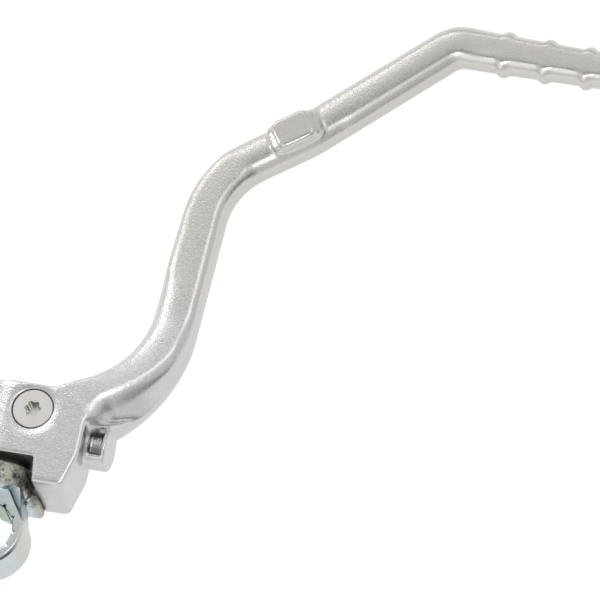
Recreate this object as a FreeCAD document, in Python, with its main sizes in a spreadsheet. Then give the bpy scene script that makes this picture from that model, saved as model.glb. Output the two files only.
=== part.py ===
import FreeCAD, Part
import math
import os
import re
import Sketcher

os.makedirs("parts", exist_ok=True)
doc = FreeCAD.newDocument("KickStartLever")

# Kick start lever, stowed. Millimetres.
# Origin: centre of the splined bore. +Z: bore axis, away from the engine.
# +Y: pivot axis, up into the arm. +X: to the foot peg.

SIZES = {
    # splined ring of the knuckle
    "ring_radius": 15.0,
    "ring_width": 18.0,
    "ring_edge": 0.65,
    "land_radius": 14.3,
    "land_width": 19.5,
    "land_corner_x": 5.85,
    "land_corner_y": 16.8,
    "bore_radius": 10.8,
    "bore_chamfer": 0.6,
    "notch_depth": 1.4,
    "notch_width": 1.3,
    "notch_count": 12,
    # neck and shoulder of the knuckle
    "neck_foot": 12.4,
    "neck_top": 9.6,
    "neck_depth": 16.4,
    "shoulder_radius": 11.4,
    "shoulder_bottom": 18.0,
    "shoulder_slope": 4.0,
    "shoulder_top": 27.7,
    # stop lugs of the knuckle
    "lug_bottom": 15.9,
    "lug_root": 4.0,
    "lug_near": 3.0,
    "lug_far": 14.6,
    "lug_round": 1.4,
    "stop_gap": 0.1,
    # pivot journal
    "journal_radius": 7.5,
    "journal_top": 55.9,
    "journal_chamfer": 0.8,
    "oring_level": 34.6,
    "oring_cord": 1.1,
    "oring_play": 0.05,
    "detent_level": 41.0,
    "ball_radius": 2.5,
    "ball_proud": 0.6,
    "ball_play": 0.05,
    "ball_track": 0.3,
    "detent_pocket": 0.5,
    "spring_length": 5.2,
    "spring_radius": 1.9,
    "spring_wire": 0.35,
    "spring_turns": 5,
    "spring_gap": 0.3,
    "spring_play": 0.1,
    "bore_cone": 1.6,
    "running_clearance": 0.05,
    "loose_clearance": 0.3,
    # swing of the arm
    "swing": 90.0,
    # base of the arm
    "base_half_depth": 15.4,
    "underside": 30.0,
    "base_top": 59.9,
    "notch_corner_x": 13.2,
    "block_bottom": 19.4,
    "block_left": 15.0,
    "block_right": 27.1,
    "block_shoulder": 30.5,
    "block_shoulder_y": 33.4,
    "block_waist": 30.0,
    "block_waist_y": 50.9,
    "block_corner_round": 2.6,
    "block_draft": 2.4,
    "edge_round": 1.5,
    # cross screw
    "screw_x": 8.1,
    "screw_y": 49.3,
    "head_radius": 7.9,
    "head_rim": 0.9,
    "head_edge": 0.25,
    "head_recess": 0.45,
    "head_gap": 0.25,
    "seat_play": 0.05,
    "shank_radius": 4.0,
    "screw_tip": 11.6,
    "screw_tip_chamfer": 0.8,
    "tapped_depth": 13.2,
    "thread_play": 0.1,
    "socket_core": 2.6,
    "socket_lobe": 1.0,
    "socket_reach": 3.3,
    "socket_depth": 3.6,
    "dish_radius": 10.4,
    "dish_depth": 0.45,
    # dust seal
    "seal_outer": 9.1,
    "seal_lip": 0.5,
    "seal_play": 0.1,
    # spool stub
    "stub_y": 42.9,
    "stub_root": 25.1,
    "stub_radius": 8.65,
    "stub_end": 38.3,
    "stub_flange": 1.8,
    "stub_neck": 6.0,
    "stub_groove": 5.3,
    "stub_arch": 0.4,
    "stub_web_angle": 100.0,
    "stub_round": 0.5,
    "centre_drill": 0.9,
    # centre line of the arm: corners and bend radii
    "root_x": 19.1,
    "root_y": 51.3,
    "elbow_x": 50.7,
    "elbow_y": 76.5,
    "elbow_bend": 47.0,
    "crook_x": 51.8,
    "crook_y": 160.2,
    "crook_bend": 35.0,
    "stem_x": 83.3,
    "stem_y": 183.6,
    "stem_bend": 70.0,
    "crown_x": 131.8,
    "crown_y": 229.8,
    "crown_bend": 11.5,
    "tip_x": 206.4,
    "tip_y": 228.9,
    "station_step": 11.0,
    "tip_round": 1.2,
    # ribs of the foot peg
    "rib_count": 4,
    "rib_spacing": 16.5,
    "rib_from_tip": 4.8,
    "rib_width": 4.7,
    "rib_height": 1.9,
    "rib_sunk": 0.35,
    # raised pad on the arm
    "pad_x": 79.5,
    "pad_y": 181.7,
    "pad_turn": 36.7,
    "pad_length": 15.8,
    "pad_width": 12.6,
    "pad_level": 11.4,
    "pad_corner": 3.2,
    "pad_bevel": 0.9,
    "collar_margin": 2.6,
    "collar_level": 9.6,
    "collar_bevel": 1.0,
    "pad_root": 4.0,
}

# Cross-section of the arm at named places along its centre line: half widths
# to the left and right of the line, half depth, and how far the flat front
# land reaches to either side.
SECTIONS = {
    "root": {"left": 12.0, "right": 14.4, "depth": 15.38, "land_left": 9.6, "land_right": 8.6, "crown": 0.05},
    "bridge": {"left": 11.2, "right": 14.3, "depth": 15.3, "land_left": 7.7, "land_right": 8.6, "crown": 0.05},
    "heel": {"left": 10.8, "right": 13.6, "depth": 14.4, "land_left": 5.4, "land_right": 8.0, "crown": 0.4},
    "elbow": {"left": 9.9, "right": 11.2, "depth": 10.4, "land_left": 4.8, "land_right": 7.2, "crown": 0.8},
    "leg": {"left": 9.0, "right": 9.2, "depth": 8.0, "land_left": 4.2, "land_right": 5.0, "crown": 0.8},
    "crook": {"left": 8.2, "right": 8.5, "depth": 7.7, "land_left": 4.2, "land_right": 4.8, "crown": 0.8},
    "stem": {"left": 8.6, "right": 8.5, "depth": 7.5, "land_left": 4.2, "land_right": 4.2, "crown": 0.8},
    "bend": {"left": 8.6, "right": 8.0, "depth": 7.0, "land_left": 4.4, "land_right": 4.0, "crown": 0.4},
    "peg": {"left": 8.0, "right": 8.0, "depth": 6.4, "land_left": 4.5, "land_right": 4.3, "crown": 0.1},
    "tip": {"left": 6.8, "right": 6.8, "depth": 5.8, "land_left": 4.1, "land_right": 4.1, "crown": 0.1},
}

for place, shape in SECTIONS.items():
    for side, value in shape.items():
        SIZES[place + "_" + side] = value

sheet = doc.addObject("Spreadsheet::Sheet", "Sizes")
for row, (alias, value) in enumerate(SIZES.items(), start=1):
    sheet.set("A%d" % row, alias)
    sheet.set("B%d" % row, str(value))
    sheet.setAlias("B%d" % row, alias)
doc.recompute()


def number(text):
    """Value of an expression in the sheet's aliases."""
    return float(sheet.evalExpression(text))


def bind(target, path, text):
    """Ties one property of target to an expression in the sheet's aliases."""
    def with_sheet(word):
        return "Sizes." + word.group() if word.group() in SIZES else word.group()
    target.setExpression(path, re.sub(r"[a-z_]+", with_sheet, text))


# Sketches and features

def finish(feature):
    """Recomputes and stops at a feature that failed."""
    doc.recompute()
    if "Invalid" in feature.State or "Error" in feature.State:
        raise RuntimeError(feature.Name + " failed")
    return feature


def new_body(label):
    body = doc.addObject("PartDesign::Body", label)
    body.Label = label
    return body


def plane(body, role):
    return next(item for item in body.Origin.OriginFeatures if item.Role == role)


def new_sketch(body, name, role, offset="0"):
    """Empty sketch parallel to one of the body's origin planes."""
    sketch = body.newObject("Sketcher::SketchObject", name)
    sketch.AttachmentSupport = [(plane(body, role), "")]
    sketch.MapMode = "FlatFace"
    bind(sketch, "AttachmentOffset.Base.z", offset)
    return sketch


def pin_point(sketch, edge, end, across, up):
    """Holds the end of an edge at a place given by two expressions."""
    for kind, text in (("DistanceX", across), ("DistanceY", up)):
        place = sketch.addConstraint(Sketcher.Constraint(kind, -1, 1, edge, end, number(text)))
        bind(sketch, "Constraints[%d]" % place, text)


def add_polygon(sketch, corners):
    """Closed outline of straight lines through corners given as expressions."""
    points = [FreeCAD.Vector(number(across), number(up), 0) for across, up in corners]
    lines = [
        sketch.addGeometry(Part.LineSegment(start, end), False)
        for start, end in zip(points, points[1:] + points[:1])
    ]
    for line, following in zip(lines, lines[1:] + lines[:1]):
        sketch.addConstraint(Sketcher.Constraint("Coincident", line, 2, following, 1))
    for line, (across, up) in zip(lines, corners):
        pin_point(sketch, line, 1, across, up)


def add_circle(sketch, radius, across="0", up="0"):
    centre = FreeCAD.Vector(number(across), number(up), 0)
    circle = sketch.addGeometry(Part.Circle(centre, FreeCAD.Vector(0, 0, 1), number(radius)), False)
    pin_point(sketch, circle, 3, across, up)
    place = sketch.addConstraint(Sketcher.Constraint("Radius", circle, number(radius)))
    bind(sketch, "Constraints[%d]" % place, radius)


def add_pad(body, name, sketch, length, midplane=False, reversed_way=False):
    pad = body.newObject("PartDesign::Pad", name)
    pad.Profile = sketch
    bind(pad, "Length", length)
    pad.Midplane = midplane
    pad.Reversed = reversed_way
    return finish(pad)


def check_cut(body, name, before):
    """Stops at a cut that took less than a cubic millimetre off the volume before it."""
    if before - body.Shape.Volume < 1:
        raise RuntimeError(name + " cuts nothing")


def add_pocket(body, name, sketch, length, midplane=False, reversed_way=False):
    before = body.Shape.Volume
    pocket = body.newObject("PartDesign::Pocket", name)
    pocket.Profile = sketch
    bind(pocket, "Length", length)
    pocket.Midplane = midplane
    pocket.Reversed = reversed_way
    finish(pocket)
    check_cut(body, name, before)
    return pocket


def add_turned(body, name, sketch, axis):
    """Solid of revolution about an axis of the sketch."""
    turned = body.newObject("PartDesign::Revolution", name)
    turned.Profile = sketch
    turned.ReferenceAxis = (sketch, [axis])
    turned.Angle = 360
    return finish(turned)


def add_groove(body, name, sketch, axis, angle="360", midplane=False):
    """Cut turned about an axis of the sketch."""
    before = body.Shape.Volume
    groove = body.newObject("PartDesign::Groove", name)
    groove.Profile = sketch
    groove.ReferenceAxis = (sketch, [axis])
    bind(groove, "Angle", angle)
    groove.Midplane = midplane
    finish(groove)
    check_cut(body, name, before)
    return groove


def add_polar_pattern(body, name, feature, role, count):
    pattern = body.newObject("PartDesign::PolarPattern", name)
    pattern.Originals = [feature]
    pattern.Axis = (plane(body, role), [""])
    pattern.Angle = 360
    bind(pattern, "Occurrences", count)
    body.Tip = pattern
    return finish(pattern)


def edges_where(shape, test):
    """Names of the edges whose middle passes the test."""
    names = []
    for place, edge in enumerate(shape.Edges, start=1):
        middle = edge.valueAt((edge.FirstParameter + edge.LastParameter) / 2)
        if test(edge, middle):
            names.append("Edge%d" % place)
    return names


def soften(body, kind, name, test, amount):
    """Fillet or Chamfer of the edges of the body's tip that pass the test."""
    base = body.Tip
    feature = body.newObject("PartDesign::" + kind, name)
    feature.Base = (base, edges_where(base.Shape, test))
    bind(feature, "Radius" if kind == "Fillet" else "Size", amount)
    return finish(feature)


def near(value, target):
    return abs(value - target) < 0.01


# Knuckle: one forging with ring, neck, stop lugs and pivot journal

def pin_floor():
    """Distance from the pivot axis that the cross screw leaves free."""
    return "(screw_x - shank_radius - loose_clearance)"


def add_ring(body):
    ring = new_sketch(body, "RingOutline", "XY_Plane")
    add_circle(ring, "ring_radius")
    add_pad(body, "Ring", ring, "ring_width", midplane=True)
    rim = number("ring_radius")
    soften(body, "Fillet", "RingEdges",
           lambda edge, middle: near(math.hypot(middle.x, middle.y), rim) and abs(middle.z) > 1, "ring_edge")


def add_neck(body):
    neck = new_sketch(body, "NeckOutline", "XY_Plane")
    add_polygon(neck, [
        ("-neck_foot", "0"), ("neck_foot", "0"), ("neck_foot", "land_corner_y / 2"),
        ("neck_top", "shoulder_bottom + 1"), ("-neck_top", "shoulder_bottom + 1"), ("-neck_foot", "land_corner_y / 2"),
    ])
    add_pad(body, "Neck", neck, "neck_depth", midplane=True)
    land = new_sketch(body, "LandOutline", "XY_Plane")
    add_circle(land, "land_radius")
    add_pad(body, "Land", land, "land_width", midplane=True)
    tongue = new_sketch(body, "LandTongueOutline", "XY_Plane")
    add_polygon(tongue, [
        ("-land_radius * 0.8", "0"), ("land_radius * 0.8", "0"),
        ("land_radius * 0.78", "land_radius * 0.62"), ("land_corner_x", "land_corner_y"),
        ("-land_corner_x", "land_corner_y"), ("-land_radius * 0.78", "land_radius * 0.62"),
    ])
    add_pad(body, "LandTongue", tongue, "land_width", midplane=True)


def add_journal(body):
    """Shoulder and journal, turned about the pivot axis, with the ring groove of the journal."""
    groove_half = "(oring_cord + oring_play)"
    groove_floor = "(journal_radius - 2 * oring_cord - oring_play)"
    profile = new_sketch(body, "JournalProfile", "XY_Plane")
    add_polygon(profile, [
        ("0", "shoulder_bottom - 4"),
        ("shoulder_radius - shoulder_slope", "shoulder_bottom - 4"),
        ("shoulder_radius", "shoulder_bottom + shoulder_slope / 2"),
        ("shoulder_radius", "shoulder_top"),
        ("journal_radius", "shoulder_top"),
        ("journal_radius", "oring_level - " + groove_half),
        (groove_floor, "oring_level - " + groove_half),
        (groove_floor, "oring_level + " + groove_half),
        ("journal_radius", "oring_level + " + groove_half),
        ("journal_radius", "journal_top - journal_chamfer"),
        ("journal_radius - journal_chamfer", "journal_top"),
        ("0", "journal_top"),
    ])
    add_turned(body, "Journal", profile, "V_Axis")


def wall_at(level):
    """Distance of the block's inner wall from the pivot axis at one height."""
    return ("(notch_corner_x + (block_left - notch_corner_x)"
            " * (underside - (" + level + ")) / (underside - block_bottom))")


def lug_corners():
    """Outline of a stop lug whose outer side lies on the block's inner wall."""
    return [
        ("lug_root", "lug_bottom"),
        (wall_at("lug_bottom") + " - stop_gap - lug_round", "lug_bottom"),
        (wall_at("lug_bottom + lug_round") + " - stop_gap", "lug_bottom + lug_round"),
        (wall_at("shoulder_top") + " - stop_gap", "shoulder_top"),
        ("lug_root", "shoulder_top"),
    ]


def add_lugs(body):
    """Behind, the lug that stops the stowed arm; in front, the one that stops the arm swung out."""
    behind = new_sketch(body, "StowedLugOutline", "XY_Plane", "-lug_near")
    add_polygon(behind, lug_corners())
    add_pad(body, "StowedLug", behind, "lug_far - lug_near", reversed_way=True)
    front = new_sketch(body, "OpenLugOutline", "YZ_Plane", "-lug_near")
    add_polygon(front, [(up, across) for across, up in lug_corners()])
    add_pad(body, "OpenLug", front, "lug_far - lug_near", reversed_way=True)


def cut_spline(body):
    bore = new_sketch(body, "BoreOutline", "XY_Plane")
    add_circle(bore, "bore_radius")
    add_pocket(body, "Bore", bore, "land_width + 2", midplane=True)
    mouth = number("bore_radius")
    soften(body, "Chamfer", "BoreMouths",
           lambda edge, middle: near(math.hypot(middle.x, middle.y), mouth) and abs(middle.z) > 1, "bore_chamfer")
    notch = new_sketch(body, "NotchOutline", "XY_Plane")
    add_polygon(notch, [
        ("-notch_width / 2", "bore_radius - 1"), ("notch_width / 2", "bore_radius - 1"),
        ("notch_width / 2", "bore_radius + notch_depth"), ("-notch_width / 2", "bore_radius + notch_depth"),
    ])
    first = add_pocket(body, "Notch", notch, "land_width + 2", midplane=True)
    add_polar_pattern(body, "Notches", first, "Z_Axis", "notch_count")


def cut_screw_track(body):
    """Part-round groove in the journal that the cross screw runs along as the arm swings."""
    track = new_sketch(body, "ScrewTrackOutline", "XZ_Plane", "-screw_y")
    far = "(journal_radius + 2)"
    floor = pin_floor()
    corners = [
        (floor, "0"), (floor, "-" + far), (far, "-" + far), (far, far), ("-" + far, far), ("-" + far, floor), ("0", floor),
    ]
    points = [FreeCAD.Vector(number(across), number(up), 0) for across, up in corners]
    lines = [track.addGeometry(Part.LineSegment(*ends), False) for ends in zip(points, points[1:])]
    circle = Part.Circle(FreeCAD.Vector(0, 0, 0), FreeCAD.Vector(0, 0, 1), number(floor))
    bend = track.addGeometry(Part.ArcOfCircle(circle, 0, math.pi / 2), False)
    for line, following in zip(lines, lines[1:]):
        track.addConstraint(Sketcher.Constraint("Coincident", line, 2, following, 1))
    track.addConstraint(Sketcher.Constraint("Coincident", bend, 1, lines[0], 1))
    track.addConstraint(Sketcher.Constraint("Coincident", bend, 2, lines[-1], 2))
    track.addConstraint(Sketcher.Constraint("PointOnObject", bend, 3, -2))
    for line, (across, up) in zip(lines, corners):
        pin_point(track, line, 1, across, up)
    pin_point(track, lines[-1], 2, *corners[-1])
    add_pocket(body, "ScrewTrack", track, "2 * (shank_radius + loose_clearance)", midplane=True)


def cut_detent_hole(body):
    """Blind cross hole for the ball and its spring, open at the journal's left side."""
    floor = "2 * ball_radius + spring_length - (journal_radius + running_clearance + ball_proud)"
    hole = new_sketch(body, "DetentHoleOutline", "YZ_Plane", floor)
    add_circle(hole, "ball_radius + ball_play", "detent_level", "0")
    add_pocket(body, "DetentHole", hole, "2 * journal_radius")


def make_knuckle():
    body = new_body("knuckle")
    add_ring(body)
    add_neck(body)
    add_journal(body)
    add_lugs(body)
    cut_spline(body)
    cut_screw_track(body)
    cut_detent_hole(body)
    return body


# Arm: one forging with base, curved shank, raised pad and ribbed foot peg

def unit(angle):
    return FreeCAD.Vector(math.cos(angle), math.sin(angle), 0)


def spine_pieces():
    """Centre line as straight runs and bends, each (start, heading, length, signed curvature)."""
    corners = [
        FreeCAD.Vector(number("root_x"), number("root_y"), 0),
        FreeCAD.Vector(number("elbow_x"), number("elbow_y"), 0),
        FreeCAD.Vector(number("crook_x"), number("crook_y"), 0),
        FreeCAD.Vector(number("stem_x"), number("stem_y"), 0),
        FreeCAD.Vector(number("crown_x"), number("crown_y"), 0),
        FreeCAD.Vector(number("tip_x"), number("tip_y"), 0),
    ]
    bends = [number(name) for name in ("elbow_bend", "crook_bend", "stem_bend", "crown_bend")]
    headings = [math.atan2((b - a).y, (b - a).x) for a, b in zip(corners, corners[1:])]
    pieces = []
    start = corners[0]
    for corner, radius, heading, following in zip(corners[1:], bends, headings, headings[1:]):
        turned = following - heading
        setback = radius * math.tan(abs(turned) / 2)
        run_end = corner - unit(heading) * setback
        pieces.append((start, heading, (run_end - start).Length, 0.0))
        pieces.append((run_end, heading, radius * abs(turned), math.copysign(1 / radius, turned)))
        start = corner + unit(following) * setback
    pieces.append((start, headings[-1], (corners[-1] - start).Length, 0.0))
    return pieces


SPINE = spine_pieces()
SPINE_STARTS = [sum(piece[2] for piece in SPINE[:place]) for place in range(len(SPINE) + 1)]


def spine_at(distance):
    """Point and heading of the centre line at a distance from its root."""
    place = max(i for i in range(len(SPINE)) if i == 0 or SPINE_STARTS[i] <= distance)
    start, heading, _, curvature = SPINE[place]
    run = distance - SPINE_STARTS[place]
    if not curvature:
        return start + unit(heading) * run, heading
    turned = heading + curvature * run
    side = unit(turned - math.pi / 2) - unit(heading - math.pi / 2)
    return start + side * (1 / curvature), turned


ROOT, ELBOW_START, LEG_START, CROOK_START, CROOK_END = SPINE_STARTS[:5]
STEM_END, BEND_START, PEG_START, TIP = SPINE_STARTS[6:]
SECTION_PLACES = [
    (ROOT, "root"),
    (ROOT + (ELBOW_START - ROOT) * 0.45, "bridge"),
    (ELBOW_START, "heel"),
    ((ELBOW_START + LEG_START) / 2, "elbow"),
    (LEG_START, "leg"),
    ((CROOK_START + CROOK_END) / 2, "crook"),
    (STEM_END, "stem"),
    ((BEND_START + PEG_START) / 2, "bend"),
    (PEG_START + (TIP - PEG_START) * 0.1, "peg"),
    (TIP, "tip"),
]


def section_text(distance, side):
    """One size of the cross-section at a distance along the centre line, as an expression."""
    for (low, place), (high, following) in zip(SECTION_PLACES, SECTION_PLACES[1:]):
        if distance <= high or following == "tip":
            share = (distance - low) / (high - low)
            return "(%s_%s * %.5f + %s_%s * %.5f)" % (place, side, 1 - share, following, side, share)


def add_section(body, name, distance, grow="0", sink="0"):
    """Sketch across the centre line: four crowned sides, the left and right grown and front and back sunk where asked."""
    centre, heading = spine_at(distance)
    sketch = new_sketch(body, name, "XZ_Plane")
    tilt = FreeCAD.Rotation(FreeCAD.Vector(0, 1, 0), math.degrees(heading) - 90)
    sketch.setExpression("AttachmentOffset.Base.z", None)
    sketch.AttachmentOffset = FreeCAD.Placement(FreeCAD.Vector(centre.x, 0, -centre.y), tilt)
    left, right, depth, land_left, land_right, crown = [
        section_text(distance, side) for side in ("left", "right", "depth", "land_left", "land_right", "crown")
    ]
    rim = "(" + depth + " - " + crown + " - " + sink + ")"
    out_left, out_right = "(" + left + " + " + grow + ")", "(" + right + " + " + grow + ")"
    edge_left, edge_right = "(" + land_left + " + " + grow + " / 2)", "(" + land_right + " + " + grow + " / 2)"
    corners = [(edge_right, rim), ("-" + edge_left, rim), ("-" + edge_left, "-" + rim), (edge_right, "-" + rim)]
    land = "(" + edge_left + " + " + edge_right + ") / 2"
    middle = "(" + edge_right + " - " + edge_left + ") / 2"
    crests = [(middle, rim + " + " + crown), ("-" + out_left, "0"), (middle, "-" + rim + " - " + crown), (out_right, "0")]
    spans = [(land, crown), (rim, out_left + " - " + edge_left), (land, crown), (rim, out_right + " - " + edge_right)]
    points = [FreeCAD.Vector(number(across), number(up), 0) for across, up in corners]
    tops = [FreeCAD.Vector(number(across), number(up), 0) for across, up in crests]
    arcs = [
        sketch.addGeometry(Part.Arc(start, top, end), False)
        for start, top, end in zip(points, tops, points[1:] + points[:1])
    ]
    for arc, following in zip(arcs, arcs[1:] + arcs[:1]):
        sketch.addConstraint(Sketcher.Constraint("Coincident", arc, 2, following, 1))
    for arc, (across, up), (half, rise) in zip(arcs, corners, spans):
        pin_point(sketch, arc, 1, across, up)
        radius = "((%s)^2 + (%s)^2) / (2 * (%s))" % (half, rise, rise)
        place = sketch.addConstraint(Sketcher.Constraint("Radius", arc, number(radius)))
        bind(sketch, "Constraints[%d]" % place, radius)
    return sketch


def add_loft(body, name, sections, ruled=False):
    loft = body.newObject("PartDesign::AdditiveLoft", name)
    loft.Profile = sections[0]
    loft.Sections = sections[1:]
    loft.Ruled = ruled
    return finish(loft)


def add_shank(body):
    """Loft of the whole curved arm from inside the base to the peg's rounded end."""
    distances = []
    for (_, _, length, curvature), start in zip(SPINE, SPINE_STARTS):
        steps = math.ceil(length / number("station_step")) + 1
        shares = [step / steps for step in range(steps)]
        if not curvature:
            shares = [(1 - math.cos(math.pi * share)) / 2 for share in shares]
        distances += [start + length * share for share in shares]
    distances.append(TIP - number("tip_round"))
    sections = [add_section(body, "Section%02d" % place, far) for place, far in enumerate(distances)]
    add_loft(body, "Shank", sections)
    rounding = []
    for place, turned in enumerate((0, 25, 50, 75, 90)):
        far = TIP - number("tip_round") * (1 - math.sin(math.radians(turned)))
        inset = "tip_round * %.4f" % (1 - math.cos(math.radians(turned)))
        rounding.append(add_section(body, "TipRound%d" % place, far, "(-%s)" % inset, "(%s)" % inset))
    add_loft(body, "TipRound", rounding, ruled=True)


def add_base(body):
    """Housing round the pivot and the stop block, narrower behind than in front."""
    outlines = []
    for name, level, draft in (
        ("BaseFront", "base_half_depth", "0"), ("BaseBack", "-base_half_depth", "block_draft"),
    ):
        outline = new_sketch(body, name, "XY_Plane", level)
        add_polygon(outline, [
            ("0", "underside"), ("notch_corner_x", "underside"), ("block_left", "block_bottom"),
            ("block_right - " + draft, "block_bottom"), ("block_shoulder - " + draft, "block_shoulder_y"),
            ("block_waist - " + draft, "block_waist_y"), ("root_x + 4", "root_y + 6"),
            ("root_x - 6", "base_top"), ("0", "base_top"),
        ])
        outlines.append(outline)
    add_loft(body, "Base", outlines, ruled=True)
    barrel = new_sketch(body, "BarrelOutline", "XZ_Plane", "-underside")
    add_circle(barrel, "base_half_depth")
    add_pad(body, "Barrel", barrel, "base_top - underside", reversed_way=True)


def soften_base(body):
    """Rounded front edges of the base, but for the crisp ones round the knuckle's notch."""
    top, front = number("base_top"), number("base_half_depth")
    wall_left, wall_low, wall_high = number("block_right") - 1, number("block_bottom") + 1, number("block_waist_y")

    def is_outer_front(edge, middle):
        outer = near(middle.y, top) or (middle.x > wall_left and wall_low < middle.y < wall_high)
        return outer and near(middle.z, front) and edge.Length > 3

    def is_block_corner(edge, middle):
        return abs(middle.z) < 1 and near(middle.y, number("block_bottom")) and middle.x > wall_left - 4

    soften(body, "Fillet", "BlockCorner", is_block_corner, "block_corner_round")
    soften(body, "Fillet", "BaseEdges", is_outer_front, "edge_round")


def add_ribs(body):
    """Rounded beads on the peg's two edges, flush with its flat front and back."""
    for rib in range(round(number("rib_count"))):
        centre = TIP - number("rib_from_tip") - rib * number("rib_spacing")
        profile = []
        for place, share in enumerate((-1.0, -0.6, 0.0, 0.6, 1.0)):
            height = "(rib_height * %.4f - rib_sunk)" % math.sqrt(1 - share ** 2)
            far = centre + share * number("rib_width") / 2
            profile.append(add_section(body, "Rib%d_%d" % (rib + 1, place), far, height, "rib_sunk / 4"))
        add_loft(body, "Rib%d" % (rib + 1), profile)


def add_raised_pad(body):
    """Flat pad on a lower collar, both with rounded corners and a bevelled rim."""
    for name, margin, level, bevel in (
        ("Collar", "collar_margin", "collar_level", "collar_bevel"), ("Pad", "0", "pad_level", "pad_bevel"),
    ):
        outline = new_sketch(body, name + "Outline", "XY_Plane", "pad_root")
        tilt = FreeCAD.Rotation(FreeCAD.Vector(0, 0, 1), number("pad_turn"))
        middle = FreeCAD.Vector(number("pad_x"), number("pad_y"), number("pad_root"))
        outline.AttachmentOffset = FreeCAD.Placement(middle, tilt)
        half_length, half_width = "(pad_length / 2 + %s)" % margin, "(pad_width / 2 - %s / 8)" % margin
        add_rounded_oblong(outline, half_length, half_width, "pad_corner")
        add_pad(body, name, outline, "%s - pad_root" % level)
        height = number(level)
        soften(body, "Chamfer", name + "Rim", lambda edge, middle: near(middle.z, height), bevel)


def add_rounded_oblong(sketch, half_length, half_width, corner):
    """Oblong about the sketch's origin with round corners."""
    inner_length, inner_width = "(%s - %s)" % (half_length, corner), "(%s - %s)" % (half_width, corner)
    quarters = [("", ""), ("-", ""), ("-", "-"), ("", "-")]
    arcs = []
    for quarter, (left, down) in enumerate(quarters):
        centre = FreeCAD.Vector(number(left + inner_length), number(down + inner_width), 0)
        circle = Part.Circle(centre, FreeCAD.Vector(0, 0, 1), number(corner))
        start = quarter * math.pi / 2
        arcs.append(sketch.addGeometry(Part.ArcOfCircle(circle, start, start + math.pi / 2), False))
    points = []
    for quarter, (left, down) in enumerate(quarters):
        ends = [(left + half_length, down + inner_width), (left + inner_length, down + half_width)]
        points.append(ends if quarter % 2 == 0 else ends[::-1])
    for arc, ends in zip(arcs, points):
        pin_point(sketch, arc, 1, *ends[0])
        pin_point(sketch, arc, 2, *ends[1])
        place = sketch.addConstraint(Sketcher.Constraint("Radius", arc, number(corner)))
        bind(sketch, "Constraints[%d]" % place, corner)
    for arc, following, ends, next_ends in zip(arcs, arcs[1:] + arcs[:1], points, points[1:] + points[:1]):
        start = FreeCAD.Vector(number(ends[1][0]), number(ends[1][1]), 0)
        end = FreeCAD.Vector(number(next_ends[0][0]), number(next_ends[0][1]), 0)
        line = sketch.addGeometry(Part.LineSegment(start, end), False)
        sketch.addConstraint(Sketcher.Constraint("Coincident", arc, 2, line, 1))
        sketch.addConstraint(Sketcher.Constraint("Coincident", line, 2, following, 1))


def add_stub(body):
    """Turned spool on the right wall, its groove stopped short of a web at the bottom."""
    spool = new_sketch(body, "StubProfile", "XY_Plane")
    bind(spool, "AttachmentOffset.Base.y", "stub_y")
    add_polygon(spool, [
        ("stub_root", "0"), ("stub_end - centre_drill", "0"), ("stub_end", "centre_drill"),
        ("stub_end", "stub_radius - stub_round"), ("stub_end - stub_round", "stub_radius"), ("stub_root", "stub_radius"),
    ])
    add_turned(body, "Stub", spool, "H_Axis")
    groove = new_sketch(body, "StubGrooveProfile", "XY_Plane")
    bind(groove, "AttachmentOffset.Base.y", "stub_y")
    near_side, far_side = "stub_end - stub_flange - stub_groove", "stub_end - stub_flange"
    add_polygon(groove, [
        (near_side, "stub_neck"), (far_side, "stub_neck"),
        (far_side, "stub_radius + stub_arch"), (near_side, "stub_radius + stub_arch"),
    ])
    add_groove(body, "StubGroove", groove, "H_Axis", "360 - stub_web_angle", midplane=True)


def cut_pivot_bore(body):
    """Blind bore that turns on the journal."""
    profile = new_sketch(body, "PivotBoreProfile", "XY_Plane")
    bore, roof = "(journal_radius + running_clearance)", "(journal_top + loose_clearance)"
    add_polygon(profile, [
        ("0", "underside - 1"), (bore, "underside - 1"), (bore, roof), ("0", roof + " + bore_cone"),
    ])
    add_groove(body, "PivotBore", profile, "V_Axis")


def cut_ball_track(body):
    """Round-bottomed track of the detent ball in the bore wall."""
    reach = "(journal_radius + running_clearance + ball_proud - ball_radius)"
    ball_seat = "(ball_radius + ball_track)"
    profile = new_sketch(body, "BallTrackProfile", "XY_Plane")
    centre = FreeCAD.Vector(-number(reach), number("detent_level"), 0)
    disc = profile.addGeometry(Part.Circle(centre, FreeCAD.Vector(0, 0, 1), number(ball_seat)), False)
    pin_point(profile, disc, 3, "-" + reach, "detent_level")
    place = profile.addConstraint(Sketcher.Constraint("Radius", disc, number(ball_seat)))
    bind(profile, "Constraints[%d]" % place, ball_seat)
    add_groove(body, "BallTrack", profile, "V_Axis", "swing")


def cut_detent_pockets(body):
    """Drilled ends of the track, towards -X for the stowed arm and towards +Z for the arm swung out."""
    depth = "journal_radius + running_clearance + ball_proud + detent_pocket"
    for name, role, across, up, reversed_way in (
        ("StowedPocket", "YZ_Plane", "detent_level", "0", False), ("OpenPocket", "XY_Plane", "0", "detent_level", True),
    ):
        hole = new_sketch(body, name + "Outline", role)
        add_circle(hole, "ball_radius + ball_track", across, up)
        add_pocket(body, name, hole, depth, reversed_way=reversed_way)


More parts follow.
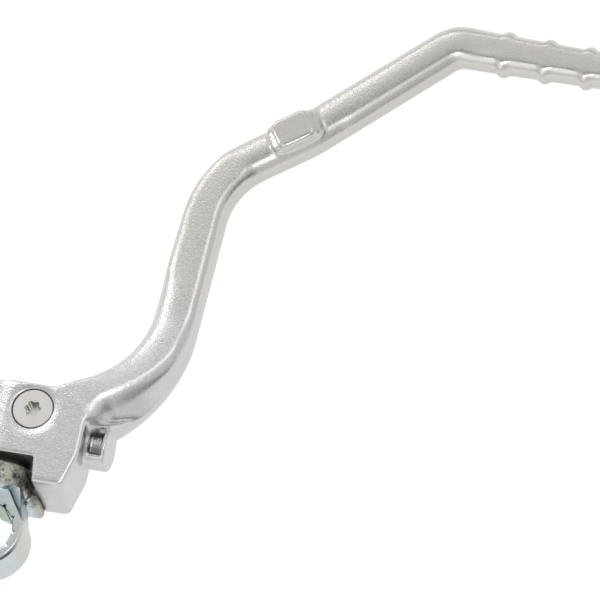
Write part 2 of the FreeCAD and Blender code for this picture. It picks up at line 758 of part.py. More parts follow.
def cut_screw_hole(body):
    """Shallow dish, counterbore, countersunk seat and blind hole of the cross screw."""
    front = "base_half_depth"
    lip = "(base_half_depth - dish_depth)"
    seat = "(base_half_depth - dish_depth - head_recess - head_rim)"
    wide, narrow = "(head_radius + head_gap)", "(shank_radius + thread_play)"
    profile = new_sketch(body, "ScrewHoleProfile", "YZ_Plane", "screw_x")
    bind(profile, "AttachmentOffset.Base.x", "screw_y")
    add_polygon(profile, [
        ("0", front + " + 1"), ("dish_radius", front + " + 1"), ("dish_radius", front), (wide, lip), (wide, seat),
        (narrow, seat + " - " + wide + " + " + narrow), (narrow, "-tapped_depth"), ("0", "-tapped_depth - thread_play"),
    ])
    add_groove(body, "ScrewHole", profile, "V_Axis")


def make_arm():
    body = new_body("kick_arm")
    add_base(body)
    soften_base(body)
    add_shank(body)
    add_ribs(body)
    add_raised_pad(body)
    add_stub(body)
    cut_pivot_bore(body)
    cut_ball_track(body)
    cut_detent_pockets(body)
    cut_screw_hole(body)
    return body


# Cross screw: countersunk head with a six-lobed socket, seated in the arm

def make_screw():
    body = new_body("cross_screw")
    bind(body, "Placement.Base.x", "screw_x")
    bind(body, "Placement.Base.y", "screw_y")
    top = "(base_half_depth - dish_depth - head_recess)"
    rim = "(" + top + " - head_rim - head_gap + seat_play)"
    profile = new_sketch(body, "ScrewProfile", "XZ_Plane")
    add_polygon(profile, [
        ("0", top), ("head_radius - head_edge", top), ("head_radius", top + " - head_edge"), ("head_radius", rim),
        ("shank_radius", rim + " - head_radius + shank_radius"), ("shank_radius", "-screw_tip + screw_tip_chamfer"),
        ("shank_radius - screw_tip_chamfer", "-screw_tip"), ("0", "-screw_tip"),
    ])
    add_turned(body, "Screw", profile, "V_Axis")
    core = new_sketch(body, "SocketOutline", "XY_Plane", top)
    add_circle(core, "socket_core")
    add_pocket(body, "Socket", core, "socket_depth")
    lobe = new_sketch(body, "SocketLobeOutline", "XY_Plane", top)
    add_circle(lobe, "socket_lobe", "socket_reach - socket_lobe", "0")
    first = add_pocket(body, "SocketLobe", lobe, "socket_depth")
    add_polar_pattern(body, "SocketLobes", first, "Z_Axis", "6")
    return body


# Rubber parts

def make_dust_seal():
    """Ring round the journal, between the knuckle's shoulder and the arm's underside."""
    body = new_body("dust_seal")
    inner = "(journal_radius + seal_play)"
    foot, lid = "(shoulder_top + seal_play / 2)", "(underside - loose_clearance)"
    profile = new_sketch(body, "SealProfile", "XY_Plane")
    add_polygon(profile, [
        (inner, foot), ("seal_outer - seal_lip", foot), ("seal_outer", foot + " + seal_lip"),
        ("seal_outer", lid + " - seal_lip"), ("seal_outer - seal_lip", lid), (inner, lid),
    ])
    add_turned(body, "Seal", profile, "V_Axis")
    return body


def make_oring():
    ring = doc.addObject("Part::Torus", "journal_oring")
    ring.Label = "journal_oring"
    bind(ring, "Radius1", "journal_radius - oring_cord")
    bind(ring, "Radius2", "oring_cord")
    ring.Placement.Rotation = FreeCAD.Rotation(FreeCAD.Vector(1, 0, 0), -90)
    bind(ring, "Placement.Base.y", "oring_level")
    return finish(ring)


# Detent: ball and spring in the journal's cross hole

BALL_X = "(-(journal_radius + running_clearance + ball_proud - ball_radius))"


def make_ball():
    ball = doc.addObject("Part::Sphere", "detent_ball")
    ball.Label = "detent_ball"
    bind(ball, "Radius", "ball_radius")
    bind(ball, "Placement.Base.x", BALL_X)
    bind(ball, "Placement.Base.y", "detent_level")
    return finish(ball)


def make_spring():
    body = new_body("detent_spring")
    bind(body, "Placement.Base.y", "detent_level")
    near_end = "(" + BALL_X + " + sqrt(ball_radius^2 - spring_radius^2) + spring_wire + spring_gap)"
    far_end = "(" + BALL_X + " + ball_radius + spring_length - spring_wire - spring_play)"
    wire = new_sketch(body, "WireOutline", "XY_Plane")
    add_circle(wire, "spring_wire", near_end, "spring_radius")
    coil = body.newObject("PartDesign::AdditiveHelix", "Coil")
    coil.Profile = wire
    coil.ReferenceAxis = (wire, ["H_Axis"])
    coil.Mode = 0
    bind(coil, "Height", far_end + " - " + near_end)
    bind(coil, "Pitch", "(" + far_end + " - " + near_end + ") / spring_turns")
    finish(coil)
    return body


makers = [make_knuckle, make_arm, make_screw, make_dust_seal, make_oring, make_ball, make_spring]
pieces = [make() for make in makers]
doc.recompute()

for item in doc.Objects:
    if "Invalid" in item.State or "Error" in item.State:
        raise RuntimeError(item.Name + " failed")
for piece in pieces:
    if piece.Shape.isNull() or not piece.Shape.isValid():
        raise RuntimeError(piece.Label + " has no sound shape")
for piece in pieces:
    piece.Shape.exportStep("parts/%s.step" % piece.Label)
    print(piece.Label, round(piece.Shape.Volume), "mm3,", len(piece.Shape.Solids), "solid")
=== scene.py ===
import math

import bpy
from mathutils import Matrix, Vector
from mathutils.kdtree import KDTree


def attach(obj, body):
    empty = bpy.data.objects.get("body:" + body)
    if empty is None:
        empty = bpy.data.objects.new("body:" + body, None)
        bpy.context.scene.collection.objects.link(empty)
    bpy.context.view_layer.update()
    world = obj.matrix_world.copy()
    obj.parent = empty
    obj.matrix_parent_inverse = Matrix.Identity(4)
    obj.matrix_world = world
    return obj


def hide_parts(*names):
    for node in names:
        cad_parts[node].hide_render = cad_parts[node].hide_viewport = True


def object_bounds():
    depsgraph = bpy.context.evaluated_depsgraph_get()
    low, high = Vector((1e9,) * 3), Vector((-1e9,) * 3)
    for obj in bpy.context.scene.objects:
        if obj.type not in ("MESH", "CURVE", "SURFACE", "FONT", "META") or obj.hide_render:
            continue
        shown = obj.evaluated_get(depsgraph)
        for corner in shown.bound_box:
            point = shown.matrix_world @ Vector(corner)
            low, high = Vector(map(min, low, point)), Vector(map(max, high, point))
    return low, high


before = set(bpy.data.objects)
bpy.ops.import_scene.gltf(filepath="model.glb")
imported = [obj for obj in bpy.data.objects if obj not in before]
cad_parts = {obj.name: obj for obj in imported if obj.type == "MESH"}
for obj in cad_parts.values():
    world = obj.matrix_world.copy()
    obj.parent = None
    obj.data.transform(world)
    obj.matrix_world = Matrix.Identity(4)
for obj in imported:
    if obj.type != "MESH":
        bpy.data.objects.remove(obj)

# Kick start lever lying stowed on a white table: metres, origin in the splined bore,
# +Z out of the bore, +Y up the pivot, +X to the foot peg
mm = 0.001
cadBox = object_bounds()


# Colours, nodes and selection

def toLinear(hexColour):
    # sRGB hex to the linear values that sockets take
    parts = [int(hexColour[i:i + 2], 16) / 255 for i in (1, 3, 5)]
    return [p / 12.92 if p <= 0.04045 else ((p + 0.055) / 1.055) ** 2.4 for p in parts] + [1]


def addNode(tree, kind, settings=None, inputs=None, links=None):
    # settings: attributes, inputs: socket values, links: socket -> another node's output;
    # a socket goes by its name or its number
    node = tree.nodes.new(kind)
    for name, value in (settings or {}).items():
        setattr(node, name, value)
    for name, value in (inputs or {}).items():
        node.inputs[name].default_value = value
    for name, output in (links or {}).items():
        tree.links.new(output, node.inputs[name])
    return node


def newMaterial(name):
    material = bpy.data.materials.new(name)
    material.use_nodes = True
    material.node_tree.nodes.clear()
    return material, material.node_tree


def selectOnly(piece):
    bpy.ops.object.select_all(action="DESELECT")
    piece.select_set(True)
    bpy.context.view_layer.objects.active = piece


def wear(piece, material):
    piece.data.materials.clear()
    piece.data.materials.append(material)


# Camera: looks steeply down on the lever, turned so that the arm runs up to the right

cameraSetup = {
    "right": (0.9566, 0.2343, -0.1734),
    "up": (-0.1512, 0.9057, 0.396),
    "middle": (119.4, 90.8, -20),  # the picture's centre: right, up and towards the camera, mm
    "pixels": 600,                 # width of the picture that pixelsPerMm goes by
    "pixelsPerMm": 2.6,
    "lens": 1500,                  # mm: a long lens from far off, so nothing looks foreshortened
}


def placeCamera():
    right = Vector(cameraSetup["right"]).normalized()
    back = right.cross(Vector(cameraSetup["up"])).normalized()
    turn = Matrix((right, back.cross(right), back)).transposed()
    camera = bpy.data.objects.new("camera", bpy.data.cameras.new("camera"))
    bpy.context.scene.collection.objects.link(camera)
    camera.data.lens = cameraSetup["lens"]
    frameWidth = cameraSetup["pixels"] / cameraSetup["pixelsPerMm"] * mm
    distance = frameWidth * camera.data.lens / camera.data.sensor_width
    spot = turn @ (Vector(cameraSetup["middle"]) * mm) + back * distance
    camera.matrix_world = Matrix.Translation(spot) @ turn.to_4x4()
    camera.data.clip_end = 2 * distance
    bpy.context.scene.camera = camera


placeCamera()
print("camera placed")


# Arm: forged aluminium, shot blasted. The copy of the solid is melted into one soft skin,
# as a forging has, and the machined places stay as they are. Lengths in mm.

armForging = {
    "voxel": 0.6,
    "smoothSteps": 14,
    "bevelSteps": 18,

    # machined places keep their shape: pairs run from as machined to as forged, and single
    # numbers are where a place ends. screw is the screw's axis, stubLevel the stub's.
    "boreEdge": (9.0, 10.5), "boreTop": 59.5,
    "screw": (8.1, 49.3), "screwEdge": (9.3, 11.5), "screwFoot": -14,
    "notchTop": (30.6, 32.5), "notchSide": 13.5,
    "stopSide": (15.6, 17.5), "stopTop": 31,
    "stubLevel": 42.9, "stubEdge": (9.2, 10.5), "stubFoot": 30.8, "stubSoftness": 0.15,
    # the bore's wall keeps clear of the journal: radius, start and extra room
    "boreRadius": 8.6, "boreStart": 31, "boreSlack": 0.12,

    # centre line: corners, radius of the bend at each, points on each stretch and on the last
    "corners": [
        (19.1, 51.3), (50.7, 76.5), (51.8, 160.2), (83.3, 183.6), (131.8, 229.8), (206.4, 228.9),
    ],
    "bends": [47, 35, 70, 11.5],
    "stretchPoints": 40, "lastPoints": 60,

    # bevel on the right of the front face, by place along the centre line: depth of the front,
    # where the bevel starts, where the wall stands at half depth, and how much of it is cut
    "bevels": [
        (7, 15.4, 2.4, 17.0, 0.0), (16, 14.6, 1.5, 13.8, 1.0), (27, 13.0, 1.7, 12.6, 1.0),
        (38, 10.8, 3.2, 11.2, 1.0), (50, 9.1, 4.2, 9.9, 0.9), (62, 8.0, 4.4, 9.1, 0.0),
    ],
    "bevelTurn": 2.0,        # over which the face turns
    "bevelSlope": 0.75,
    "bevelDrop": 3.2,        # from the face down to the top of the wall
    "front": 0.2,            # height at which the front half begins
    "frontFade": (0, 2),     # heights over which the bevel comes in
    "baseCorner": (24, 75),  # the base lies left of and below it, and has no bevel
    # the bevel ends round the stub: corner of the stub's surroundings, radius from none to full
    "stubZone": (28, 60), "stubClear": (9.8, 15.5),
    # smoothing of the bevel: the same two, then how far before and after the bevel's start it
    # comes in, at which heights, and what the crest is spared, at which depths below the front
    "blendZone": (29, 56), "blendClear": (9.2, 11),
    "blendSide": (1, 2), "blendBack": (-8, -2),
    "crestKept": 0.6, "crestDepth": (3, 1),

    # stretches with a squarer shoulder: side, where along the line it fades in and out, half
    # width there and the oval's exponent, which is ovalBuilt on the solid
    "shoulders": [
        (1, (50, 64), (126, 134), 9.1, 4.2), (-1, (68, 84), (126, 134), 8.6, 4.6),
        (1, (170, 178), (236, 246), 8.3, 4.2),
    ],
    "shoulderEnd": 0.97,     # share of the half width: beyond it the lift stays the same
    "ovalBuilt": 2.3,
    # stretch whose face falls away to the right, and by what share of its depth per mm squared
    "fallingFace": ((170, 178), (232, 244), 0.5, 0.0045),

    # dip round the screw: inner and outer radius, extra depth below the screw, and the share of
    # that above it; dishTurn is how squarely below the screw a place lies, from above to below
    "dish": (8.3, 12.6, 0.45, 0.25),
    "dishTurn": (0.2, 0.9), "dishFoot": 12, "dishTop": 58.5,

    "silver": "#CCCCCD", "yellower": "#CAC9C4",
    "dentWidth": 0.75, "dentDepth": 0.2,
    "mottleWidth": 18,
    "shotFrom": (-0.2, 0.3, 0.93),
    "padRubbed": 0.15,       # share of the grain left on the pad's face
    # share of the colour kept in the painted shade of the stub's groove
    "grooveShadeTone": 0.35,
    # finish: what it goes by, from and to (mm where that is a length), the value at either end
    "finish": {
        "grain": ("shot", 0.76, 0.92, 0.2, 1),
        "pegRub": ("Y", 200, 222, 1, 0.3),
        "padHeight": ("Z", 9.2, 10.2, 0, 1),
        "padStart": ("Y", 90, 110, 0, 1),
        "upArm": ("Y", 85, 135, -0.15, 0.55),
        "dentTone": ("dents", 0.32, 0.68, 0.93, 1.04),
        # painted shade: faces that turn sideways or down are darkened
        "wallShade": ("faceUp", 0, 0.5, 0.92, 1),
        "roughness": ("dents", 0.3, 0.7, 0.26, 0.34),
        # these four mark the stub groove's lower side, which gets painted shade
        "inGroove": ("stubRadius", 7.6, 7.0, 0, 1),
        "pastWall": ("X", 30.9, 31.3, 0, 1),
        "shortOfFlange": ("X", 35.9, 35.5, 0, 1),
        "lowSide": ("overStub", -0.8, -2.6, 0, 1),
    },
}
mergeGap = 0.002 * mm    # closes the seams between a solid's faces, so that it can be melted


def copyOf(node, name):
    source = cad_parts[node]
    piece = source.copy()
    piece.data = source.data.copy()
    piece.name = name
    bpy.context.scene.collection.objects.link(piece)
    piece.parent = None
    piece.hide_render = False
    piece.hide_viewport = False
    selectOnly(piece)
    bpy.ops.object.mode_set(mode="EDIT")
    bpy.ops.mesh.select_all(action="SELECT")
    bpy.ops.mesh.remove_doubles(threshold=mergeGap)
    bpy.ops.object.mode_set(mode="OBJECT")
    return piece


def melt(piece, voxel):
    selectOnly(piece)
    remesh = piece.modifiers.new("melt", "REMESH")
    remesh.mode = "VOXEL"
    remesh.voxel_size = voxel * mm
    remesh.use_smooth_shade = True
    bpy.ops.object.modifier_apply(modifier=remesh.name)


def soften(piece, weightAt, steps):
    piece.vertex_groups.clear()
    group = piece.vertex_groups.new(name="soft")
    for vertex in piece.data.vertices:
        weight = weightAt(vertex.co)
        if weight > 0:
            group.add([vertex.index], weight, "REPLACE")
    selectOnly(piece)
    smooth = piece.modifiers.new("soften", "SMOOTH")
    smooth.iterations = steps
    smooth.vertex_group = "soft"
    bpy.ops.object.modifier_apply(modifier=smooth.name)


def ramp(value, low, high):
    # 0 at low, 1 at high, eased at both ends
    share = min(max((value - low) / (high - low), 0), 1)
    return share * share * (3 - 2 * share)


def fromStub(y, z):
    return math.hypot(y - armForging["stubLevel"], z)


def fromScrew(x, y):
    return math.hypot(x - armForging["screw"][0], y - armForging["screw"][1])


def armSoftness(co):
    x, y, z = co / mm
    ends = armForging
    bore = ramp(math.hypot(x, z), *ends["boreEdge"]) if y < ends["boreTop"] else 1
    screw = ramp(fromScrew(x, y), *ends["screwEdge"]) if z > ends["screwFoot"] else 1
    notch = ramp(y, *ends["notchTop"]) if x < ends["notchSide"] else 1
    stop = ramp(x, *ends["stopSide"]) if y < ends["stopTop"] else 1
    stub = ramp(fromStub(y, z), *ends["stubEdge"]) if x > ends["stubFoot"] else 1
    return min(bore, screw, notch, stop, max(stub, ends["stubSoftness"]))


def centreLine():
    # points every millimetre or so, each with its distance from the root and its heading
    corners = [Vector(corner) for corner in armForging["corners"]]
    steps, lastSteps = armForging["stretchPoints"], armForging["lastPoints"]
    bends = armForging["bends"]
    points, start = [], corners[0]
    for before, corner, after, radius in zip(corners, corners[1:], corners[2:], bends):
        into, out = (corner - before).normalized(), (after - corner).normalized()
        setback = radius * math.tan(into.angle(out) / 2)
        run = corner - into * setback
        end = corner + out * setback
        points += [start.lerp(run, i / steps) for i in range(steps)]
        for i in range(steps):
            share = i / steps
            points.append(run.lerp(corner, share).lerp(corner.lerp(end, share), share))
        start = end
    points += [start.lerp(corners[-1], i / lastSteps) for i in range(lastSteps + 1)]
    line, distance = [], 0
    for point, following in zip(points, points[1:]):
        line.append((point, distance, (following - point).normalized()))
        distance += (following - point).length
    return line


armLine = centreLine()
lineTree = KDTree(len(armLine))
for index, (point, _, _) in enumerate(armLine):
    lineTree.insert(point.to_3d(), index)
lineTree.balance()


def armPlace(co):
    # how far along the centre line a place lies and how far to its right, mm
    flat = Vector((co.x / mm, co.y / mm, 0))
    point, along, heading = armLine[lineTree.find(flat)[1]]
    gap = flat.to_2d() - point
    return along + gap.dot(heading), gap.x * heading.y - gap.y * heading.x


def bevelAt(along):
    stations = armForging["bevels"]
    if along <= stations[0][0]:
        return stations[0][1:]
    for low, high in zip(stations, stations[1:]):
        if along <= high[0]:
            share = (along - low[0]) / (high[0] - low[0])
            return [a + (b - a) * share for a, b in zip(low[1:], high[1:])]
    return stations[-1][1:]


def bevelFront(piece):
    # the front face turns away early on its right side: a crest, then a bevel down to the
    # leaning wall
    turn, slope = armForging["bevelTurn"], armForging["bevelSlope"]
    ledge, fade = armForging["bevelDrop"], armForging["frontFade"]
    (baseX, baseY), (zoneX, zoneY) = armForging["baseCorner"], armForging["stubZone"]
    for vertex in piece.data.vertices:
        x, y, z = vertex.co / mm
        if z < armForging["front"] or (x < baseX and y < baseY):
            continue
        along, right = armPlace(vertex.co)
        depth, start, wall, share = bevelAt(along)
        past = right - start
        if past <= 0 or share == 0:
            continue
        drop = slope * (min(past, turn) ** 2 / turn / 2 + max(past - turn, 0))
        brow = start + turn / 2 + ledge / slope
        if right > brow:
            drop = ledge + (right - brow) * (depth - ledge) / max(wall - brow, 1)
        byStub = x > zoneX and y < zoneY
        clear = ramp(fromStub(y, z), *armForging["stubClear"]) if byStub else 1
        vertex.co.z -= max(z - depth + drop, 0) * share * clear * ramp(z, *fade) * mm


def shapeShoulders(piece):
    # the shoulders are squarer than the solid's oval, so their crests lie close to the walls
    built, end = armForging["ovalBuilt"], armForging["shoulderEnd"]
    into, out, start, fall = armForging["fallingFace"]
    for vertex in piece.data.vertices:
        if vertex.co.z < armForging["front"] * mm:
            continue
        along, right = armPlace(vertex.co)
        for side, fadeIn, fadeOut, halfWidth, wanted in armForging["shoulders"]:
            share = ramp(along, *fadeIn) * (1 - ramp(along, *fadeOut))
            u = min(side * right / halfWidth, end)
            if share > 0 and u > 0:
                fuller = (1 - u ** wanted) ** (1 / wanted) / (1 - u ** built) ** (1 / built)
                vertex.co.z *= 1 + (fuller - 1) * share
        falling = ramp(along, *into) * (1 - ramp(along, *out))
        vertex.co.z *= 1 - fall * max(right - start, 0) ** 2 * falling


def deepenDish(piece):
    inner, outer, depth, shallow = armForging["dish"]
    for vertex in piece.data.vertices:
        x, y, z = vertex.co / mm
        reach = fromScrew(x, y)
        if z > armForging["dishFoot"] and reach < outer and y < armForging["dishTop"]:
            down = (armForging["screw"][1] - y) / max(reach, 1)
            share = shallow + (1 - shallow) * ramp(down, *armForging["dishTurn"])
            vertex.co.z -= depth * share * (1 - ramp(reach, inner, outer)) * mm


def bevelSoftness(co):
    x, y, z = co / mm
    (baseX, baseY), (zoneX, zoneY) = armForging["baseCorner"], armForging["blendZone"]
    if x <= baseX and y <= baseY:
        return 0
    along, right = armPlace(co)
    depth, start, _, share = bevelAt(along)
    before, after = armForging["blendSide"]
    low, high = armForging["crestDepth"]
    byStub = x > zoneX and y < zoneY
    stub = ramp(fromStub(y, z), *armForging["blendClear"]) if byStub else 1
    side = ramp(right, start - before, start + after)
    crest = 1 - armForging["crestKept"] * ramp(z, depth - low, depth - high)
    return ramp(z, *armForging["blendBack"]) * share * side * stub * crest


arm = copyOf("kick_arm", "kick_arm_forging")
melt(arm, armForging["voxel"])
bevelFront(arm)
shapeShoulders(arm)
deepenDish(arm)
soften(arm, armSoftness, armForging["smoothSteps"])
soften(arm, bevelSoftness, armForging["bevelSteps"])
for vertex in arm.data.vertices:
    x, y, z = vertex.co
    reach = math.hypot(x, z)
    if reach < armForging["boreRadius"] * mm and y > armForging["boreStart"] * mm:
        push = armForging["boreSlack"] * mm / max(reach, 1 * mm)
        vertex.co.x += x * push
        vertex.co.z += z * push
print("arm skin:", len(arm.data.polygons), "faces")


def blastedAluminium():
    # 6061 forging, shot blasted and tumbled: satin silver with a grain of small dents where
    # the shot met the face square, smooth on the walls, faintly yellower up the arm
    material, tree = newMaterial("shot_blasted_aluminium")
    place = addNode(tree, "ShaderNodeTexCoord")
    inMm = addNode(tree, "ShaderNodeVectorMath", {"operation": "SCALE"}, {"Scale": 1000},
                   {"Vector": place.outputs["Object"]})
    at = inMm.outputs["Vector"]
    where = addNode(tree, "ShaderNodeSeparateXYZ", None, None, {"Vector": at})
    # dents are 0.3 mm wide in life and drawn 0.75 mm wide, so that they show at this size
    dents = addNode(tree, "ShaderNodeTexNoise", None,
                    {"Scale": 1 / armForging["dentWidth"], "Detail": 2.5, "Roughness": 0.65},
                    {"Vector": at})
    mottle = addNode(tree, "ShaderNodeTexNoise", None,
                     {"Scale": 1 / armForging["mottleWidth"], "Detail": 2}, {"Vector": at})
    facing = addNode(tree, "ShaderNodeSeparateXYZ", None, None,
                     {"Vector": place.outputs["Normal"]})
    # the shot came from above and a little from the left, so right-hand crests stay smoother
    shot = addNode(tree, "ShaderNodeVectorMath", {"operation": "DOT_PRODUCT"},
                   {1: armForging["shotFrom"]}, {0: place.outputs["Normal"]})
    fromAxis = addNode(tree, "ShaderNodeVectorMath", {"operation": "SUBTRACT"},
                       {1: (0, armForging["stubLevel"], 0)}, {0: at})
    overStub = addNode(tree, "ShaderNodeSeparateXYZ", None, None,
                       {"Vector": fromAxis.outputs["Vector"]})
    across = addNode(tree, "ShaderNodeVectorMath", {"operation": "MULTIPLY"}, {1: (0, 1, 1)},
                     {0: fromAxis.outputs["Vector"]})
    stubRadius = addNode(tree, "ShaderNodeVectorMath", {"operation": "LENGTH"}, None,
                         {0: across.outputs["Vector"]})

    measures = {
        "X": where.outputs["X"], "Y": where.outputs["Y"], "Z": where.outputs["Z"],
        "dents": dents.outputs["Fac"], "faceUp": facing.outputs["Z"],
        "shot": shot.outputs["Value"], "stubRadius": stubRadius.outputs["Value"],
        "overStub": overStub.outputs["Y"],
    }
    finish = {}
    for name, (measure, low, high, first, last) in armForging["finish"].items():
        step = addNode(tree, "ShaderNodeMapRange", None,
                       {"From Min": low, "From Max": high, "To Min": first, "To Max": last},
                       {"Value": measures[measure]})
        finish[name] = step.outputs["Result"]

    # pad and peg are rubbed smoother by boots
    padFace = addNode(tree, "ShaderNodeMath", {"operation": "MULTIPLY"}, None,
                      {0: finish["padHeight"], 1: finish["padStart"]})
    padRub = addNode(tree, "ShaderNodeMapRange", None,
                     {"To Min": 1, "To Max": armForging["padRubbed"]},
                     {"Value": padFace.outputs["Value"]})
    rubbed = addNode(tree, "ShaderNodeMath", {"operation": "MULTIPLY"}, None,
                     {0: finish["pegRub"], 1: padRub.outputs["Result"]})
    relief = addNode(tree, "ShaderNodeMath", {"operation": "MULTIPLY"}, None,
                     {0: finish["grain"], 1: rubbed.outputs["Value"]})
    bump = addNode(tree, "ShaderNodeBump", None, {"Distance": armForging["dentDepth"] * mm},
                   {"Height": dents.outputs["Fac"], "Strength": relief.outputs["Value"]})

    # painted shade on the lower side of the stub's groove
    grooveShade = finish["inGroove"]
    for name in ("shortOfFlange", "pastWall", "lowSide"):
        both = addNode(tree, "ShaderNodeMath", {"operation": "MULTIPLY"}, None,
                       {0: grooveShade, 1: finish[name]})
        grooveShade = both.outputs["Value"]
    grooveShadeFactor = addNode(tree, "ShaderNodeMapRange", None,
                    {"To Min": 1, "To Max": armForging["grooveShadeTone"]}, {"Value": grooveShade})
    # dent grain times the painted shade on the walls
    tone = addNode(tree, "ShaderNodeMath", {"operation": "MULTIPLY"}, None,
                   {0: finish["dentTone"], 1: finish["wallShade"]})
    shade = addNode(tree, "ShaderNodeMath", {"operation": "MULTIPLY"}, None,
                    {0: tone.outputs["Value"], 1: grooveShadeFactor.outputs["Result"]})

    yellowing = addNode(tree, "ShaderNodeMath", {"operation": "ADD", "use_clamp": True}, None,
                        {0: finish["upArm"], 1: mottle.outputs["Fac"]})
    base = addNode(tree, "ShaderNodeMix", {"data_type": "RGBA"},
                   {"A": toLinear(armForging["silver"]), "B": toLinear(armForging["yellower"])},
                   {"Factor": yellowing.outputs["Value"]})
    colour = addNode(tree, "ShaderNodeVectorMath", {"operation": "SCALE"}, None,
                     {"Vector": base.outputs["Result"], "Scale": shade.outputs["Value"]})
    skin = addNode(tree, "ShaderNodeBsdfPrincipled", None, {"Metallic": 1},
                   {"Base Color": colour.outputs["Vector"], "Roughness": finish["roughness"],
                    "Normal": bump.outputs["Normal"]})
    addNode(tree, "ShaderNodeOutputMaterial", None, None, {"Surface": skin.outputs["BSDF"]})
    return material


wear(arm, blastedAluminium())
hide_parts("kick_arm")
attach(arm, "arm")


# Knuckle: forged steel, zinc plated, with machined ring faces. Lengths in mm.

knuckleForging = {
    "voxel": 0.4,
    "smoothSteps": 8,
    "ringEdge": (13.8, 15.5),     # radius: machined inside it, as forged outside
    "journalFoot": (27.5, 28.5),  # up the neck: as forged below it, machined above

    "tongueCorner": (5.85, 16.8, 0),     # the land's tongue up the neck: a corner of its right
    "tongueNormal": (0.831, 0.556, 0),   # edge, and which way that edge faces
    "borderWander": 2.0,                 # the neck's skin begins along a border this ragged
    # width of a mark, detail and roughness of each pattern
    "patterns": {"pits": (0.8, 3, 0.7), "stain": (3.2, 4, 0.6), "patch": (2.4, 3, 0.65)},
    # finish: what it goes by, from and to (mm where that is a length), the value at either end
    "finish": {
        "neck": ("border", 19.2, 20.4, 0, 1),
        "lug": ("X", 11.5, 14.5, 0, 1),
        "lugTop": ("Y", 7, 9.5, 0, 1),
        "bore": ("radius", 11.1, 10.9, 0, 1),
        "dark": ("patch", 0.44, 0.64, 0, 1),
        "speckle": ("pits", 0.35, 0.65, 0.62, 1.12),
    },
    # on smooth plate, and on pitted or forged skin
    "speckled": (0.18, 1), "pitting": (0.15, 1), "roughness": (0.3, 0.46),
    "pitDepth": 0.35,
    "bluest": "#CDD3D5", "greyest": "#B8C3C7",
    "tints": [("bore", "#9DB5A4"), ("lug", "#C3C3B9")],   # greenish bore, aged lug
    "neckPale": "#B9BAAC", "neckStained": "#584C50",
    # painted shade: colour, and the limits of its place, each from none to full
    "paintedShades": [
        # painted shade in the crease beside the raised land, on the neck's face
        ("#53707A", [("Z", 9.55, 9.15), ("Z", 7.15, 7.75), ("Y", 5, 8), ("tongue", 3.2, 0.2)]),
        # painted shade on the ring's lower bevel
        ("#5E5B56", [("Z", 9.65, 9.5), ("Z", 7.75, 8.25), ("Y", -4, -9),
                     ("radius", 14.3, 14.6)]),
        # painted shadow in the ends of the splines
        ("#333A38", [("Z", 9.35, 9.05), ("radius", 11.1, 11.3), ("radius", 13.3, 12.9)]),
    ],
}


def knuckleSoftness(co):
    x, y, _ = co / mm
    ring = ramp(math.hypot(x, y), *knuckleForging["ringEdge"])
    journal = 1 - ramp(y, *knuckleForging["journalFoot"])
    return min(ring, journal)


knuckle = copyOf("knuckle", "knuckle_forging")
melt(knuckle, knuckleForging["voxel"])
soften(knuckle, knuckleSoftness, knuckleForging["smoothSteps"])
print("knuckle skin:", len(knuckle.data.polygons), "faces")


